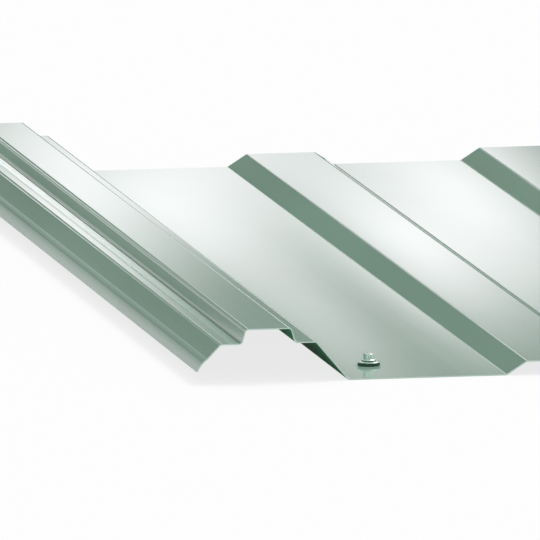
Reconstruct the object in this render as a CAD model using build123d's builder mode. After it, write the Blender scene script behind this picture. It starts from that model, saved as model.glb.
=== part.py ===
from build123d import *
import os

# Trapezoidal roofing sheet, roll formed from one flat strip. X runs across the
# sheet, Y along its ribs and Z up. The origin is on the underside of the middle
# pan, halfway along the sheet. All sizes are in millimetres, and widths and
# heights of the section are taken on the middle of the sheet's thickness.

# Sheet
sheet_length = 1200.0
sheet_thickness = 1.0
cover_width = 700.0  # from one lap rib's centre to the next
bend_radius = 2.5  # inside radius that the rolls leave at a fold

# Lap rib, from its crown outwards
lap_height = 44.0
lap_crown_width = 38.0
riser_run = 3.4
riser_height = 12.0
shoulder_width = 17.6
lap_web_run = 27.0

# Outer side of the covering lap rib, which ends in a curved lip
cover_web_run = 11.0
cover_web_drop = 11.4
lip_radius = 28.0
lip_start_angle = 36.0  # below the horizontal
lip_sweep_angle = 28.0

# Covered lap rib, which slides under the next sheet's covering rib
lap_clearance = 1.0
drain_web_run = 18.5
drain_web_rise = 17.5
drain_floor_run = 28.7
drain_floor_rise = 7.0
drain_curve_radius = 20.0
drain_crown_reach = 14.4  # from the rib's centre to its crown's inner corner
free_edge_height = 8.0

# Low stiffening ribs between the lap ribs
stiffener_count = 2
stiffener_spacing = 207.0
stiffener_height = 10.8
stiffener_crown_width = 60.0
stiffener_web_run = 17.0

# Fixing holes near the front end, one in each of the pans beside the lap ribs
hole_diameter = 6.0
hole_from_lap_rib = 31.0
hole_from_end = 70.0

# Values worked out from those above
shoulder_height = lap_height - riser_height
crown_edge = lap_crown_width / 2
shoulder_inner = crown_edge + riser_run
shoulder_outer = shoulder_inner + shoulder_width
lap_foot = shoulder_outer + lap_web_run
fold_radius = bend_radius + sheet_thickness / 2
hole_spacing = cover_width - 2 * (lap_foot + hole_from_lap_rib)


def inset_corner(before, corner, after, distance):
    """A corner of the line that runs below the given one at an even distance."""
    first = (corner - before).normalized().rotate(Axis.Z, -90)
    second = (after - corner).normalized().rotate(Axis.Z, -90)
    return corner + (first + second) * (distance / (1 + first.dot(second)))


def lap_flank():
    """Corners of a lap rib's inner side, from its crown down to the pan."""
    return [
        Vector(crown_edge, lap_height),
        Vector(shoulder_inner, shoulder_height),
        Vector(shoulder_outer, shoulder_height),
        Vector(lap_foot, 0),
    ]


def covering_rib():
    """Corners of the rib that covers the lap, from the lip's crease to the pan."""
    crease = Vector(-shoulder_outer - cover_web_run, shoulder_height - cover_web_drop)
    outer_side = [
        crease,
        Vector(-shoulder_outer, shoulder_height),
        Vector(-shoulder_inner, shoulder_height),
        Vector(-crown_edge, lap_height),
    ]
    return outer_side + lap_flank()


def stiffeners():
    """Corners of the low ribs, which stand evenly about the sheet's centre."""
    crown_half = stiffener_crown_width / 2
    foot_half = crown_half + stiffener_web_run
    corners = []
    for index in range(stiffener_count):
        centre = (index - (stiffener_count - 1) / 2) * stiffener_spacing
        corners += [
            Vector(centre - foot_half, 0),
            Vector(centre - crown_half, stiffener_height),
            Vector(centre + crown_half, stiffener_height),
            Vector(centre + foot_half, 0),
        ]
    return corners


def covered_rib():
    """Corners of the rib under the lap, from the pan over the drain to the free edge."""
    gap = sheet_thickness + lap_clearance
    crown_left = Vector(-crown_edge, lap_height)
    crown_right, inner, outer, foot = lap_flank()
    nested_outer = inset_corner(inner, outer, foot, gap)
    web = foot - outer
    nested_edge = nested_outer + web * ((nested_outer.Y - free_edge_height) / shoulder_height)
    drain_start = Vector(-lap_foot + drain_web_run, drain_web_rise)
    return [
        Vector(-lap_foot, 0),
        drain_start,
        drain_start + Vector(drain_floor_run, drain_floor_rise),
        Vector(-drain_crown_reach, lap_height - gap),
        inset_corner(crown_left, crown_right, inner, gap),
        inset_corner(crown_right, inner, outer, gap),
        nested_outer,
        nested_edge,
    ]


# The section is drawn as the middle line of the strip and thickened evenly.
to_covering_rib = Vector(-cover_width / 2, sheet_thickness / 2)
to_covered_rib = Vector(cover_width / 2, sheet_thickness / 2)
to_stiffeners = Vector(0, sheet_thickness / 2)
covering_corners = [corner + to_covering_rib for corner in covering_rib()]
stiffener_corners = [corner + to_stiffeners for corner in stiffeners()]
covered_corners = [corner + to_covered_rib for corner in covered_rib()]
corners = covering_corners + stiffener_corners + covered_corners
fold_radii = [fold_radius] * (len(corners) - 2)
drain_curve_index = len(covering_corners) + len(stiffener_corners) + 1
fold_radii[drain_curve_index] = drain_curve_radius

with BuildPart() as corrugated_sheet:
    with BuildSketch(Plane.XZ) as section:
        with BuildLine() as middle_line:
            folds = FilletPolyline(*corners, radius=fold_radii)
            lip_direction = Vector(-1, 0).rotate(Axis.Z, lip_start_angle)
            JernArc(folds @ 0, lip_direction, lip_radius, lip_sweep_angle)
            offset(amount=sheet_thickness / 2, side=Side.BOTH)
        make_face()
    extrude(amount=sheet_length / 2, both=True)
    with Locations((0, hole_from_end - sheet_length / 2)):
        with GridLocations(hole_spacing, 0, 2, 1):
            Hole(hole_diameter / 2)
corrugated_sheet.part.label = "corrugated_sheet"

os.makedirs("parts", exist_ok=True)
export_step(corrugated_sheet.part, "parts/corrugated_sheet.step")
print("strip width before rolling", round(middle_line.wires()[0].length / 2, 1))
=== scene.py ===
# %% [markdown]
# A roofing sheet with tall lap ribs
#
# This lesson dresses one roll-formed roofing sheet: a strip of coated steel, one millimetre thick, that
# rolls have folded into flat pans, two low stiffening ribs and two tall ribs at its sides. The folded
# shape is already finished in CAD, with every bend at its real radius, so nothing is modelled over it.
# What is left for this script is the camera, the light, the paint on both faces, the bare steel at the
# cut ends, and the roofing screws that sit in the two fixing holes.
#
# The first step loads that shape. Its mesh stays as it is from here on, and its box is kept, because
# the places of the sheet's two ends are read from it.

# %% Load the sheet
import math

import bmesh
import bpy
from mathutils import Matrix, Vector


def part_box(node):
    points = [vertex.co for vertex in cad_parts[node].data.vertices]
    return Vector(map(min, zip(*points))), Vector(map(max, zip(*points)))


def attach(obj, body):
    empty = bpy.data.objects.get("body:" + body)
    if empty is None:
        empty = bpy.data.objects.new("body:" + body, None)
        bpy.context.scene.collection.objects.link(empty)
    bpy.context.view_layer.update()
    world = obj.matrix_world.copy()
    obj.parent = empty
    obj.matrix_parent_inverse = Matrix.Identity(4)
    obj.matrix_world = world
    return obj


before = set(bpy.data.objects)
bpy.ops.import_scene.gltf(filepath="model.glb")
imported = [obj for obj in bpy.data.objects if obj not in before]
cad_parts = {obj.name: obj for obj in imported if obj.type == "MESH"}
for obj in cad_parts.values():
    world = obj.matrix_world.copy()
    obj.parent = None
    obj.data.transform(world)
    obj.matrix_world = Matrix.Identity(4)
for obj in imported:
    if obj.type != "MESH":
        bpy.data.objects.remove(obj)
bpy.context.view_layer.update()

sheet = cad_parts["corrugated_sheet"]
low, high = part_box("corrugated_sheet")
print("sheet, in millimetres:", [round(1000 * side) for side in high - low])

# %% [markdown]
# Sizes
#
# All of Blender's lengths here are metres. A roofing sheet is drawn in millimetres, so one small name,
# mm, turns a number from a drawing into metres. Three sizes and the places of the two ends are all that
# the finish needs to know about the sheet itself.

# %% Sizes of the sheet
mm = 0.001
sheet_thickness = 1.0 * mm
hole_spacing = 504 * mm  # from one fixing hole to the other, across the sheet
hole_from_end = 70 * mm
front_end = low.y
back_end = high.y
print("holes at x = +-", hole_spacing / 2, "and y =", round(front_end + hole_from_end, 3))

# %% [markdown]
# The camera
#
# The picture that this sheet is modelled on is almost free of perspective: lines that run along the
# ribs stay parallel. An orthographic camera would do that, but a very long lens from far away does it
# too, and keeps the slight narrowing that a real lens leaves. The camera looks along the ribs from a
# little to the left and a little above. It is placed by two angles and a distance from the point that
# the middle of the picture shows, and the focal length follows from how much of the sheet is in view.

# %% Camera
view_azimuth = math.radians(-11.12)
view_elevation = math.radians(8.57)
view_distance = 20.0
view_width = 0.443  # what the picture's width shows, at that distance
view_target = Vector((-0.3488, front_end, 0.0934))
sensor_width = 36.0
farthest_seen = 200.0

to_camera = Vector((
    math.sin(view_azimuth) * math.cos(view_elevation),
    -math.cos(view_azimuth) * math.cos(view_elevation),
    math.sin(view_elevation),
))
camera_data = bpy.data.cameras.new("camera")
camera_data.sensor_width = sensor_width
camera_data.lens = sensor_width * view_distance / view_width
camera_data.clip_end = farthest_seen
camera = bpy.data.objects.new("camera", camera_data)
camera.location = view_target + to_camera * view_distance
camera.rotation_euler = to_camera.to_track_quat("Z", "Y").to_euler()
bpy.context.scene.collection.objects.link(camera)
bpy.context.scene.camera = camera
bpy.context.scene.view_settings.view_transform = "Standard"
print("focal length", round(camera_data.lens), "mm, camera at", [round(v, 2) for v in camera.location])

# %% [markdown]
# Helpers for node trees
#
# Materials, the sky and the screws' arrangement are all node trees, and building one by hand is mostly
# adding a node and filling its inputs. One helper does both: an input is given either a plain value or
# another node's output, and the helper sets or links it. The others shorten what comes up again and
# again: one sum, a smooth step, a mix of two colours, and a new material with its shader.


# %% Node helpers
def fill(tree, socket, value):
    """Gives an input a plain value, or links another node's output to it."""
    if isinstance(value, bpy.types.NodeSocket):
        tree.links.new(value, socket)
    else:
        socket.default_value = value


def add_node(tree, kind, inputs=None, **settings):
    """Adds a node, sets its options and fills its inputs."""
    node = tree.nodes.new(kind)
    for name, value in settings.items():
        setattr(node, name, value)
    for name, value in (inputs or {}).items():
        fill(tree, node.inputs[name], value)
    return node


def maths(tree, operation, *values, clamp=False):
    """The result of one Math node."""
    inputs = dict(enumerate(values))
    return add_node(tree, "ShaderNodeMath", inputs, operation=operation, use_clamp=clamp).outputs[0]


def ramp(tree, value, start, end, to_start=0.0, to_end=1.0):
    """Goes smoothly from to_start to to_end while value goes from start to end."""
    inputs = {"Value": value, "From Min": start, "From Max": end, "To Min": to_start, "To Max": to_end}
    node = add_node(tree, "ShaderNodeMapRange", inputs, interpolation_type="SMOOTHSTEP")
    return node.outputs[0]


def mix_colours(tree, share, first, second):
    """A colour between two others."""
    node = add_node(tree, "ShaderNodeMix", data_type="RGBA")
    # When it mixes colours, this node's share is input 0, its colours are 6 and 7, its result output 2.
    for number, value in ((0, share), (6, first), (7, second)):
        fill(tree, node.inputs[number], value)
    return node.outputs[2]


print("helpers for node trees:", ", ".join(f.__name__ for f in (add_node, maths, ramp, mix_colours)))


# %% Material helpers
def new_material(name):
    """An empty material with its output node."""
    material = bpy.data.materials.new(name)
    material.use_nodes = True
    material.node_tree.nodes.clear()
    output = add_node(material.node_tree, "ShaderNodeOutputMaterial")
    return material, material.node_tree, output


def show_surface(tree, output, kind, inputs):
    """Ends a material's tree with a shader."""
    shader = add_node(tree, kind, inputs)
    tree.links.new(shader.outputs[0], output.inputs["Surface"])


def object_place(tree):
    """The place on the object, in the object's own coordinates."""
    return add_node(tree, "ShaderNodeTexCoord").outputs["Object"]


def split(tree, vector):
    """The X, Y and Z of a vector, each as an output of its own."""
    return add_node(tree, "ShaderNodeSeparateXYZ", {"Vector": vector}).outputs


def colour(red, green, blue):
    """A colour from a paint chart's 0 to 255 values, as the linear numbers that shaders use."""
    # This is the standard curve that a screen's values follow.
    parts = [part / 255 for part in (red, green, blue)]
    linear = [p / 12.92 if p <= 0.04045 else ((p + 0.055) / 1.055) ** 2.4 for p in parts]
    return (*linear, 1.0)


print("a middle grey of 128 is", round(colour(128, 128, 128)[0], 3), "to a shader")

# %% [markdown]
# The white surroundings
#
# The sheet is shown on plain white. Flooding it with light would burn out the paint, so the white is
# given to the rays that look at the background instead: camera rays, and the mirrored and see-through
# rays that would show it. Every other ray finds a sky of plain grey that lights the sheet softly.


# %% Sky
def looks_at_background(tree):
    """1 for rays that show the background, 0 for those that carry light."""
    path = add_node(tree, "ShaderNodeLightPath").outputs
    seen_or_mirrored = maths(tree, "MAXIMUM", path["Is Camera Ray"], path["Is Glossy Ray"])
    return maths(tree, "MAXIMUM", seen_or_mirrored, path["Is Transmission Ray"])


white = (1, 1, 1, 1)
sky_light = 0.58
world = bpy.data.worlds.new("white_room")
world.use_nodes = True
bpy.context.scene.world = world
sky = world.node_tree
sky.nodes.clear()
sky_strength = maths(sky, "MULTIPLY_ADD", looks_at_background(sky), 1.0 - sky_light, sky_light)
background = add_node(sky, "ShaderNodeBackground", {"Color": white, "Strength": sky_strength})
add_node(sky, "ShaderNodeOutputWorld", {"Surface": background.outputs[0]})
print("sky light", sky_light)

# %% [markdown]
# The floor
#
# The sheet rests on a very large pale floor. Its material is part plain white paint, which takes the
# sheet's shadow, and part glow, which the background's rays see. The more glow, the fainter the shadow.
# Mirrored rays see little of the glow, so the sheet's hollows reflect the shaded floor inside them.


# %% Flat surfaces
def flat_surfaces(name, corners, material):
    """An object of flat surfaces, each given by its four corners."""
    mesh = bpy.data.meshes.new(name)
    mesh.from_pydata(corners, [], [range(first, first + 4) for first in range(0, len(corners), 4)])
    mesh.materials.append(material)
    surfaces = bpy.data.objects.new(name, mesh)
    bpy.context.scene.collection.objects.link(surfaces)
    return surfaces


print("the floor and the board are made by", flat_surfaces.__name__)

# %% Floor
floor_half = 60.0
floor_gap = 0.05 * mm  # keeps the floor from flickering through the sheet's underside
floor_paint = (0.9, 0.9, 0.9, 1)
floor_glow = 0.80  # its share of the material, for the camera
floor_glow_mirrored = 0.10


def white_floor():
    """White paint that glows a little for the rays that look at the background."""
    material, tree, output = new_material("floor_white")
    paint = add_node(tree, "ShaderNodeBsdfDiffuse", {"Color": floor_paint})
    glow = add_node(tree, "ShaderNodeEmission", {"Color": white, "Strength": 1.0})
    path = add_node(tree, "ShaderNodeLightPath").outputs
    seen = maths(tree, "MULTIPLY", path["Is Camera Ray"], floor_glow)
    mirrored = maths(tree, "MULTIPLY", looks_at_background(tree), floor_glow_mirrored)
    glow_share = maths(tree, "MAXIMUM", seen, mirrored)
    mixed = {0: glow_share, 1: paint.outputs[0], 2: glow.outputs[0]}
    show_surface(tree, output, "ShaderNodeMixShader", mixed)
    return material


quarters = ((-1, -1), (1, -1), (1, 1), (-1, 1))
floor_corners = [(x * floor_half, y * floor_half, -floor_gap) for x, y in quarters]
floor = flat_surfaces("floor", floor_corners, white_floor())
print("floor", 2 * floor_half, "m wide")

# %% [markdown]
# The lamp
#
# One broad lamp stands high up, to the right and a little behind. It lights everything that faces up and
# leaves the sides that face left in half shade, which is what makes the ribs read as folds. A sun lamp
# with a wide angle behaves like a very large soft box far away: soft shadows, and the same strength
# all over the sheet.

# %% Lamp
lamp_strength = 1.7
lamp_softness = math.radians(30)
lamp_direction = Vector((0.48, 0.20, 0.85))  # from the sheet towards the lamp
lamp_data = bpy.data.lights.new("broad_lamp", "SUN")
lamp_data.energy = lamp_strength
lamp_data.angle = lamp_softness
lamp = bpy.data.objects.new("broad_lamp", lamp_data)
lamp.rotation_euler = lamp_direction.to_track_quat("Z", "Y").to_euler()
bpy.context.scene.collection.objects.link(lamp)
print("lamp from", [round(v, 2) for v in lamp_direction.normalized()])

# %% [markdown]
# The graded board
#
# Seen this flat, glossy paint is nearly a mirror: about four tenths of what reaches the camera from a
# pan is a reflection of whatever stands behind the sheet. A photographer therefore puts a dark board
# there with soft glows on it, and the glows become the bright bands that slide along the pans, while
# the front of the sheet keeps the paint's own colour.
#
# The board is flat and upright, and turns white towards its sides and top, like the room around it. In
# front of it, behind the sheet's far end, lies a dark foot, because the steepest faces mirror the floor
# there. Both are seen by mirrored rays only, so they neither light the paint nor show in any picture.

# %% Sizes of the board
board_distance = 2.4  # behind the sheet's far end
board_left, board_right, board_top = -1.9, 1.6, 1.3
board_fade = 0.25  # how far in from its sides and top it turns white
board_tint = (1.0, 0.92, 0.975, 1.0)  # white with a little of its green taken out
foot_left, foot_right = -1.1, 1.5
foot_gap = 0.05  # from the sheet's far end to the foot's front edge
foot_height = 0.05  # how far the foot's tone reaches up the board
foot_strength = 0.23
foot_tint = (0.85, 1.0, 0.90, 1.0)  # slightly green
board_y = back_end + board_distance
print("graded board at y =", board_y, "from x =", board_left, "to", board_right)

# %% [markdown]
# The glows and shades on the board
#
# A level face mirrors the right half of the board, a little below its middle. The three level glows
# stand there. The first, a wide one, lights the lap rib's crown and the side of the pan next to it. The
# second lights the pan beyond the stiffening rib, and the third that rib's own crown. Two narrow shades
# cut into them. One darkens the side of the pan that meets the stiffening rib, and the other the strip
# of level shoulder that shows beside the lap rib's crown.
#
# A face that leans to the left mirrors a place further left and higher. The level glows end before they
# reach the board's left half, so the ribs' webs find it dark. The curved lip leans by different amounts,
# and a wide glow at the far left grades it. A narrow shade lies across that glow, where the web above
# the lip would mirror it, and a faint glow draws the crease between the two. The shoulder left of the
# crown has a small, strong glow, which reaches it by way of the steep riser beside it. A pale window at
# the top is found only by the bends, where it draws the fine light line along each fold.
#
# Each glow has a place on the board, a half length, a half width, a tilt in degrees and a strength. They
# were matched to the picture from its own viewpoint, one face of the sheet after another.

# %% Glows and shades
level_glows = (
    {"x": 0.215, "z": 0.42, "long": 0.25, "short": 0.13, "tilt": -31, "strength": 1.87},
    {"x": 0.57, "z": 0.405, "long": 0.155, "short": 0.06, "tilt": 38, "strength": 1.7},
    {"x": 0.475, "z": 0.492, "long": 0.115, "short": 0.065, "tilt": 30, "strength": 2.65},
)
level_shades = (
    {"x": 0.47, "z": 0.505, "long": 0.115, "short": 0.03, "tilt": 37, "strength": 2.6},
    {"x": 0.28, "z": 0.482, "long": 0.16, "short": 0.02, "tilt": 39, "strength": 0.8},
)
level_glows_end = (0.0, 0.07)  # across the board: gone at the first place, full from the second
lip_glow = {"x": -1.0, "z": 0.05, "long": 1.03, "short": 0.41, "tilt": -52, "strength": 0.93}
web_shade = {"x": -0.88, "z": 0.60, "long": 1.0, "short": 0.044, "tilt": -50, "strength": 0.94}
crease_glow = {"x": -0.75, "z": 0.68, "long": 0.5, "short": 0.043, "tilt": -62, "strength": 0.37}
shoulder_glow = {"x": -0.59, "z": 0.645, "long": 0.165, "short": 0.055, "tilt": -70, "strength": 4.4}
window = {"from_x": 0.0, "from_z": 0.67, "soft": 0.04, "strength": 1.0}
print("for level faces the board has", len(level_glows), "glows and", len(level_shades), "shades")


# %% Shape of a glow
def bell_glow(tree, across, up, glow):
    """A long glow, turned by its tilt, that is brightest at its centre and fades as a bell curve."""
    tilt = math.radians(glow["tilt"])
    cosine, sine = math.cos(tilt), math.sin(tilt)
    right = maths(tree, "SUBTRACT", across, glow["x"])
    above = maths(tree, "SUBTRACT", up, glow["z"])
    lengthwise = maths(tree, "MULTIPLY_ADD", right, cosine, maths(tree, "MULTIPLY", above, sine))
    crosswise = maths(tree, "MULTIPLY_ADD", above, cosine, maths(tree, "MULTIPLY", right, -sine))
    far_long = maths(tree, "DIVIDE", lengthwise, glow["long"])
    far_short = maths(tree, "DIVIDE", crosswise, glow["short"])
    squared = maths(tree, "MULTIPLY", far_long, far_long)
    squared = maths(tree, "MULTIPLY_ADD", far_short, far_short, squared)
    fade = maths(tree, "EXPONENT", maths(tree, "MULTIPLY", squared, -1.0))
    return maths(tree, "MULTIPLY", fade, glow["strength"])


print("a glow fades to", round(math.exp(-1), 2), "of its strength at its half length and half width")


# %% All the glows
def level_pattern(tree, across, up):
    """What the level faces mirror: the level glows less their shades."""
    pattern = bell_glow(tree, across, up, level_glows[0])
    for glow in level_glows[1:]:
        pattern = maths(tree, "ADD", pattern, bell_glow(tree, across, up, glow))
    for shade in level_shades:
        pattern = maths(tree, "SUBTRACT", pattern, bell_glow(tree, across, up, shade))
    return maths(tree, "MAXIMUM", pattern, 0.0)


def window_light(tree, across, up):
    """The pale window in the board's upper right corner, with soft edges."""
    soft = window["soft"]
    beside_edge = ramp(tree, across, window["from_x"] - soft, window["from_x"] + soft)
    above_sill = ramp(tree, up, window["from_z"] - soft, window["from_z"] + soft)
    shape = maths(tree, "MULTIPLY", beside_edge, above_sill)
    return maths(tree, "MULTIPLY", shape, window["strength"])


def board_glows(tree, across, up):
    """All the glows, shades and the window of the board, added up."""
    on_the_right = ramp(tree, across, *level_glows_end)
    glows = window_light(tree, across, up)
    glows = maths(tree, "MULTIPLY_ADD", level_pattern(tree, across, up), on_the_right, glows)
    for glow in (crease_glow, shoulder_glow):
        glows = maths(tree, "ADD", glows, bell_glow(tree, across, up, glow))
    beside_shade = maths(tree, "SUBTRACT", 1.0, bell_glow(tree, across, up, web_shade))
    return maths(tree, "MULTIPLY_ADD", bell_glow(tree, across, up, lip_glow), beside_shade, glows)


print("the window's sill is", window["from_z"], "m above the floor")


# %% Graded board
def graded_light():
    """The board's own light: its glows, its even foot, and the white of the room at its borders."""
    material, tree, output = new_material("graded_board")
    axes = split(tree, object_place(tree))
    across, up = axes["X"], axes["Z"]
    glows = board_glows(tree, across, up)
    is_foot = ramp(tree, up, foot_height, 0.0)
    glows = maths(tree, "MULTIPLY", glows, maths(tree, "SUBTRACT", 1.0, is_foot))
    pattern = maths(tree, "MULTIPLY_ADD", is_foot, foot_strength, glows)
    border = ramp(tree, across, board_left + board_fade, board_left)
    border = maths(tree, "MAXIMUM", border, ramp(tree, across, board_right - board_fade, board_right))
    border = maths(tree, "MAXIMUM", border, ramp(tree, up, board_top - board_fade, board_top))
    inside = maths(tree, "MULTIPLY", pattern, maths(tree, "SUBTRACT", 1.0, border))
    brightness = maths(tree, "ADD", inside, border)
    tint = mix_colours(tree, is_foot, board_tint, foot_tint)
    show_surface(tree, output, "ShaderNodeEmission", {"Color": tint, "Strength": brightness})
    return material


foot_y = back_end + foot_gap
board_and_foot = [
    (board_left, board_y, 0),
    (board_right, board_y, 0),
    (board_right, board_y, board_top),
    (board_left, board_y, board_top),
    (foot_left, foot_y, 0),
    (foot_right, foot_y, 0),
    (foot_right, board_y, 0),
    (foot_left, board_y, 0),
]
board = flat_surfaces("graded_board", board_and_foot, graded_light())
board.visible_camera = False
board.visible_diffuse = False
board.visible_shadow = False
board.visible_transmission = False
print("foot from y =", round(foot_y, 3), "to the board")

# %% [markdown]
# The coating
#
# Roofing steel is painted as a flat coil, before it is folded. The weather side gets a coloured top
# coat, smooth and fairly glossy. The back gets a thinner, darker coat that dries matt. Its deep green
# is darker than a real back coat: it is painted shade for the hollows under the ribs. Where the strip
# is cut, at both ends, the zinc and steel core shows as a thin bright line.
#
# One material can hold all three, because the place on the sheet tells them apart. The surface normal
# in the object's own space points up on the weather side and down on the back, and the cut ends are
# the only faces at the very ends of the sheet.
#
# A flat colour would look like plastic. The top coat has faint cloudiness, fine streaks along the
# direction in which the coil ran through the coater and the rolls, the slight orange peel of sprayed
# or rolled paint, and the long shallow waves that every flat pan of thin steel has. All of them are
# noise. A scale of its own for each axis draws the clouds, streaks and waves out along the sheet.


# %% Paint colours and roughness
def shaded(paint, factor):
    """A lighter or darker version of a colour."""
    return (*(factor * part for part in paint[:3]), 1.0)


top_coat_colour = colour(151, 182, 165)
lighter_cloud = shaded(top_coat_colour, 1.04)
darker_cloud = shaded(top_coat_colour, 0.95)
# the back coat: a real matt coat, made dark green as painted shade for the hollows under the ribs
back_coat_and_painted_shade = colour(40, 137, 88)
cut_steel_colour = colour(180, 202, 191)
top_coat_roughness = (0.065, 0.075)  # in the glossier and the duller streaks
back_coat_extra_roughness = 0.42
cut_steel_roughness = 0.4
cut_within = 0.1 * mm  # of the sheet's ends
back_faces_below = -0.02  # a face is on the back when its normal's Z is under this
print("top coat, as linear numbers:", [round(part, 3) for part in top_coat_colour[:3]])


# %% Noise and bump
def stretched_noise(tree, place, scale, detail=2.0):
    """Noise whose grain has its own size along each axis."""
    mapping = add_node(tree, "ShaderNodeMapping", {"Vector": place, "Scale": scale})
    inputs = {"Vector": mapping.outputs[0], "Scale": 1.0, "Detail": detail, "Roughness": 0.5}
    return add_node(tree, "ShaderNodeTexNoise", inputs).outputs[0]


def even_noise(tree, place, scale, detail=2.0):
    """Noise with the same grain along every axis."""
    return stretched_noise(tree, place, (scale, scale, scale), detail)


def bump(tree, height, strength, distance, **below):
    """A surface normal that follows a height."""
    inputs = {"Height": height, "Strength": strength, "Distance": distance, **below}
    return add_node(tree, "ShaderNodeBump", inputs).outputs[0]


cloud_scale = (7.0, 3.0, 7.0)  # grains in a metre
streak_scale = (420.0, 1.6, 420.0)
wave_scale = (9.0, 3.2, 9.0)
peel_scale = 520.0
cloud_range = (0.3, 0.7)  # noise values that become the darkest and the lightest paint
streak_contrast = 0.08  # how far streaks shift the paint between these two
gloss_range = (0.25, 0.75)
wave_height = 0.02 * mm
wave_strength = 1.0
peel_height = 0.004 * mm
peel_strength = 0.3
print("streaks are", round(streak_scale[0] / streak_scale[1]), "times as long as wide")


# %% Coated steel
def top_coat(tree, place, streaks):
    """The top coat's mottled colour, between its darker and its lighter clouds."""
    cloudy = ramp(tree, stretched_noise(tree, place, cloud_scale), *cloud_range)
    streaky = ramp(tree, streaks, *cloud_range, -streak_contrast, streak_contrast)
    mottle = maths(tree, "ADD", cloudy, streaky, clamp=True)
    return mix_colours(tree, mottle, darker_cloud, lighter_cloud)


def wavy_normal(tree, place):
    """The orange peel of the paint, over the long waves of the steel."""
    waves = stretched_noise(tree, place, wave_scale, detail=0.0)
    peel = even_noise(tree, place, peel_scale, detail=1.0)
    on_waves = bump(tree, waves, wave_strength, wave_height)
    return bump(tree, peel, peel_strength, peel_height, Normal=on_waves)


def coated_steel():
    """Top coat, back coat and cut steel, told apart by place."""
    material, tree, output = new_material("coated_steel")
    place = object_place(tree)
    facing = split(tree, add_node(tree, "ShaderNodeTexCoord").outputs["Normal"])
    from_middle = maths(tree, "ABSOLUTE", split(tree, place)["Y"])
    is_cut = maths(tree, "GREATER_THAN", from_middle, back_end - cut_within)
    is_back = maths(tree, "LESS_THAN", facing["Z"], back_faces_below)

    streaks = stretched_noise(tree, place, streak_scale, detail=3.0)
    paint = mix_colours(tree, is_back, top_coat(tree, place, streaks), back_coat_and_painted_shade)
    top_roughness = ramp(tree, streaks, *gloss_range, *top_coat_roughness)
    paint_roughness = maths(tree, "MULTIPLY_ADD", is_back, back_coat_extra_roughness, top_roughness)
    cut_roughness = maths(tree, "MULTIPLY", is_cut, cut_steel_roughness)
    surface = {
        "Base Color": mix_colours(tree, is_cut, paint, cut_steel_colour),
        "Roughness": maths(tree, "MAXIMUM", paint_roughness, cut_roughness),
        "Metallic": is_cut,
        "Normal": wavy_normal(tree, place),
    }
    show_surface(tree, output, "ShaderNodeBsdfPrincipled", surface)
    return material


sheet.material_slots[0].material = coated_steel()
print("coated steel on", sheet.name)

# %% [markdown]
# The roofing screws
#
# A roofing screw has a hexagonal head on a round flange. Under the flange lies a dished steel washer,
# and bonded to the washer's underside a ring of soft rubber, which is squeezed against the sheet and
# keeps the rain out of the hole. The three are separate pieces with their own finishes.
#
# All three are turned shapes, so one function makes them: it is given rings from the bottom up, each
# with a radius and a height, and joins each ring to the next. The head is turned too, except that some
# of its rings have six flat sides. A full turn is cut into 48 steps, which puts a step on each of the
# hexagon's corners. A shape with a bore joins its last ring to its first, and one without is closed at
# both ends by a fan of triangles.

# %% Rings of a turned shape
turn_steps = 48
hexagon_sides = 6
smooth_below = math.radians(28)  # edges that turn by more than this stay crisp


def hexagon_reach(angle):
    """How far a hexagon with flats at a distance of 1 reaches in a direction."""
    side = 2 * math.pi / hexagon_sides
    return 1 / math.cos((angle + side / 2) % side - side / 2)


def ring_corners(radius, height, has_flats):
    """The corners of one ring, all the way round."""
    corners = []
    for step in range(turn_steps):
        angle = 2 * math.pi * step / turn_steps
        reach = radius * (hexagon_reach(angle) if has_flats else 1.0)
        corners.append((reach * math.cos(angle), reach * math.sin(angle), height))
    return corners


print("a hexagon's corners reach", round(hexagon_reach(math.pi / hexagon_sides), 3), "times its flats")


# %% Turned shapes
def turned_shape(name, rings, has_bore):
    """An object made of rings (radius, height, has flats) that are joined from one to the next."""
    shape = bmesh.new()
    loops = [[shape.verts.new(corner) for corner in ring_corners(*ring)] for ring in rings]
    joined = list(zip(loops, loops[1:]))
    if has_bore:
        joined.append((loops[-1], loops[0]))
    for lower, upper in joined:
        for step in range(turn_steps):
            after = (step + 1) % turn_steps
            shape.faces.new((lower[step], lower[after], upper[after], upper[step]))
    if not has_bore:
        for loop, height in ((loops[0], rings[0][1]), (loops[-1], rings[-1][1])):
            centre = shape.verts.new((0, 0, height))
            for step in range(turn_steps):
                shape.faces.new((loop[step], loop[(step + 1) % turn_steps], centre))
    bmesh.ops.recalc_face_normals(shape, faces=shape.faces)
    mesh = bpy.data.meshes.new(name)
    shape.to_mesh(mesh)
    shape.free()
    mesh.shade_smooth()
    mesh.set_sharp_from_angle(angle=smooth_below)
    piece = bpy.data.objects.new(name, mesh)
    bpy.context.scene.collection.objects.link(piece)
    return piece


print("a full turn has", turn_steps, "steps")

# %% [markdown]
# Setting the screws in a row
#
# The same three shapes sit in every hole, so a Geometry Nodes tree sets them out. It makes a line of
# points, one for each hole, and puts a copy of the shape on each. No two screws stop at the same angle
# when they are driven home, so each copy is turned a little further than the one before it. At the end
# the copies are made real and get their material, and the result is kept as a plain mesh.


# %% Row of fixings
def add_sockets(tree):
    """Names the inputs and the output of the tree."""
    sockets = {
        "Shape": "Geometry",
        "Count": "Int",
        "Spacing": "Float",
        "First place": "Vector",
        "First turn": "Float",
        "Turn between": "Float",
        "Finish": "Material",
    }
    for name, kind in sockets.items():
        tree.interface.new_socket(name, in_out="INPUT", socket_type="NodeSocket" + kind)
    tree.interface.new_socket("Row", in_out="OUTPUT", socket_type="NodeSocketGeometry")


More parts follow.
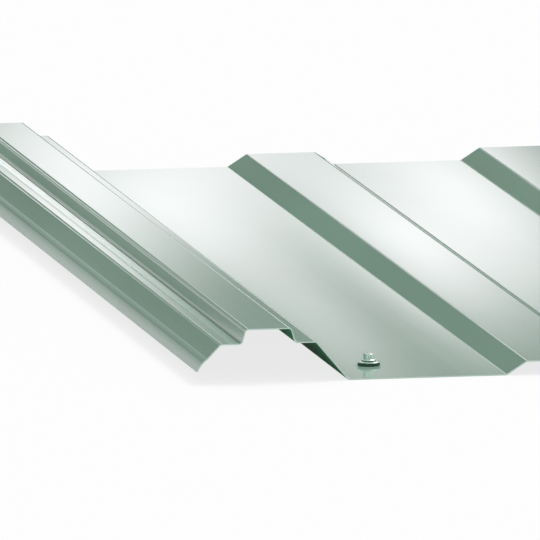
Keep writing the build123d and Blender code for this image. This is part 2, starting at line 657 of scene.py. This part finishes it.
def row_of_fixings_tree():
    """A tree that repeats a shape along a row of holes."""
    tree = bpy.data.node_groups.new("row_of_fixings", "GeometryNodeTree")
    add_sockets(tree)
    given = add_node(tree, "NodeGroupInput").outputs
    step = add_node(tree, "ShaderNodeCombineXYZ", {"X": given["Spacing"]}).outputs[0]
    line = {"Count": given["Count"], "Start Location": given["First place"], "Offset": step}
    points = add_node(tree, "GeometryNodeMeshLine", line).outputs[0]
    index = add_node(tree, "GeometryNodeInputIndex").outputs[0]
    turn = maths(tree, "MULTIPLY_ADD", index, given["Turn between"], given["First turn"])
    upright = add_node(tree, "ShaderNodeCombineXYZ", {"Z": turn}).outputs[0]
    rotation = add_node(tree, "FunctionNodeEulerToRotation", {"Euler": upright}).outputs[0]
    copies = {"Points": points, "Instance": given["Shape"], "Rotation": rotation}
    instances = add_node(tree, "GeometryNodeInstanceOnPoints", copies).outputs[0]
    real = add_node(tree, "GeometryNodeRealizeInstances", {"Geometry": instances}).outputs[0]
    coated = {"Geometry": real, "Material": given["Finish"]}
    finished = add_node(tree, "GeometryNodeSetMaterial", coated).outputs[0]
    add_node(tree, "NodeGroupOutput", {"Row": finished})
    return tree


fixings_tree = row_of_fixings_tree()
print(fixings_tree.name, "has", len(fixings_tree.nodes), "nodes")

# %% Setting in the holes
fixing_count = 2
first_turn = math.radians(16)
turn_between = math.radians(23)


def set_in_holes(piece, finish):
    """Repeats a piece over the fixing holes, as one plain mesh that rides with the sheet."""
    row = piece.modifiers.new("row", "NODES")
    row.node_group = fixings_tree
    values = {
        "Count": fixing_count,
        "Spacing": hole_spacing,
        "First place": (-hole_spacing / 2, front_end + hole_from_end, sheet_thickness),
        "First turn": first_turn,
        "Turn between": turn_between,
        "Finish": finish,
    }
    for socket in fixings_tree.interface.items_tree:
        if socket.name in values:
            row[socket.identifier] = values[socket.name]
    evaluated = piece.evaluated_get(bpy.context.evaluated_depsgraph_get())
    repeated = bpy.data.meshes.new_from_object(evaluated)
    piece.modifiers.remove(row)
    piece.data = repeated
    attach(piece, "root")
    print(piece.name, "has", len(repeated.polygons), "faces")


print(fixing_count, "fixings,", round(1000 * hole_spacing), "mm apart")

# %% [markdown]
# The finishes of the screws
#
# The head and the washer are zinc plated steel: metal, pale, with a slight mottle where the plating's
# crystals catch the light, and a satin surface. The ring is black rubber with a green cast, dull, and
# pitted very finely by its mould. Both have the same build: a fine noise that mixes two tones and
# varies the roughness, and a finer one for the bump. So one function makes them.


# %% Zinc plating and rubber
def mottled_finish(name, looks):
    """A material with a fine mottle in its tone and roughness, and a finer grain as bump."""
    material, tree, output = new_material(name)
    place = object_place(tree)
    mottle = ramp(tree, even_noise(tree, place, looks["mottle_scale"]), *looks["mottle_range"])
    grain = even_noise(tree, place, looks["grain_scale"])
    smoothest, roughness_spread = looks["roughness"]
    surface = {
        "Base Color": mix_colours(tree, mottle, *looks["tones"]),
        "Roughness": maths(tree, "MULTIPLY_ADD", mottle, roughness_spread, smoothest),
        "Metallic": looks["metallic"],
        "Normal": bump(tree, grain, looks["grain_strength"], looks["grain_height"]),
    }
    show_surface(tree, output, "ShaderNodeBsdfPrincipled", surface)
    return material


zinc_looks = {
    "tones": (colour(165, 186, 176), colour(194, 211, 203)),
    "mottle_scale": 900.0,
    "mottle_range": (0.35, 0.65),
    "roughness": (0.16, 0.08),  # the least of it, and what the mottle adds
    "metallic": 1.0,
    "grain_scale": 2600.0,
    "grain_strength": 0.4,
    "grain_height": 0.02 * mm,
}
rubber_looks = {
    "tones": (colour(26, 62, 46), colour(40, 84, 64)),
    "mottle_scale": 400.0,
    "mottle_range": (0.3, 0.7),
    "roughness": (0.55, 0.12),
    "metallic": 0.0,
    "grain_scale": 3200.0,
    "grain_strength": 0.5,
    "grain_height": 0.04 * mm,
}
plating = mottled_finish("zinc_plating", zinc_looks)
rubber = mottled_finish("sealing_rubber", rubber_looks)
print("finishes:", plating.name, "and", rubber.name)

# %% [markdown]
# The sealing ring
#
# Heights count from the sheet's top face. The ring is moulded to the washer's underside, so it stands
# higher in the middle than at its rim. Pressed between washer and sheet, it bulges a little all round,
# and it shows as a dark line under the washer.

# %% Sealing ring
bore_radius = 3.0 * mm
ring_radius = 9.3 * mm
ring_height = 2.3 * mm  # at its rim
ring_bulge = 0.25 * mm
bulge_from, bulge_to = 0.25 * ring_height, 0.6 * ring_height
dish_radius = 5.4 * mm  # inside this the washer is flat
dish_rise = 0.9 * mm
washer_seat = ring_height + dish_rise

sealing_ring = turned_shape(
    "sealing_rings",
    [
        (bore_radius, 0.0, False),
        (ring_radius - ring_bulge, 0.0, False),
        (ring_radius, bulge_from, False),
        (ring_radius, bulge_to, False),
        (ring_radius - ring_bulge, ring_height, False),
        (dish_radius, washer_seat, False),
        (bore_radius, washer_seat, False),
    ],
    has_bore=True,
)
set_in_holes(sealing_ring, rubber)

# %% [markdown]
# The washer
#
# The washer is pressed from thin plate and dished, so its rim is lower than its middle and bears on the
# ring's rim first. Its edge is rolled round, which gives it a soft bright line.

# %% Dished washer
washer_radius = 9.5 * mm
washer_thickness = 0.9 * mm
rolled_edge = washer_thickness / 4

rim_top = ring_height + washer_thickness
washer_top = washer_seat + washer_thickness
washer = turned_shape(
    "dished_washers",
    [
        (bore_radius, washer_seat, False),
        (dish_radius, washer_seat, False),
        (washer_radius - rolled_edge, ring_height, False),
        (washer_radius, ring_height + rolled_edge, False),
        (washer_radius, rim_top - rolled_edge, False),
        (washer_radius - rolled_edge, rim_top, False),
        (dish_radius, washer_top, False),
        (bore_radius, washer_top, False),
    ],
    has_bore=True,
)
set_in_holes(washer, plating)

# %% [markdown]
# The screw
#
# The shank fills the hole and ends level with the sheet's underside, because the sheet lies on the
# floor. The flange has a rounded rim and slopes up to the head. The head's flats are 8 mm apart, and
# its top is chamfered: the last flat-sided ring is followed by round ones.

# %% Sizes of the screw
shank_radius = 2.75 * mm
flange_radius = 6.3 * mm
flange_height = 1.1 * mm
flange_profile = ((0.2, 0.0), (0.0, 0.25), (0.1, 0.6), (0.6, 1.0))  # in and up, in flange heights
across_flats = 8.0 * mm
head_height = 4.8 * mm
head_foot = 0.1 * flange_height  # what the flange's top still rises towards the head
chamfer = 0.55 * mm
chamfer_start = 0.4 * chamfer  # under the head's top, on the first round ring
crown_rise = 0.1 * chamfer

flange_top = washer_top + flange_height
flat_radius = across_flats / 2
head_top = flange_top + head_height
print("the head's top is", round(1000 * head_top, 2), "mm above the sheet")

# %% Screw
shank_rings = [(shank_radius, -sheet_thickness, False), (shank_radius, washer_top, False)]
flange_rings = [
    (flange_radius - inwards * flange_height, washer_top + upwards * flange_height, False)
    for inwards, upwards in flange_profile
]
head_rings = [
    (flat_radius, flange_top + head_foot, True),
    (flat_radius, head_top - chamfer, True),
    (flat_radius, head_top - chamfer_start, False),
    (flat_radius - chamfer, head_top, False),
    (flat_radius / 2, head_top + crown_rise, False),
]
screw = turned_shape("roofing_screws", shank_rings + flange_rings + head_rings, has_bore=False)
set_in_holes(screw, plating)
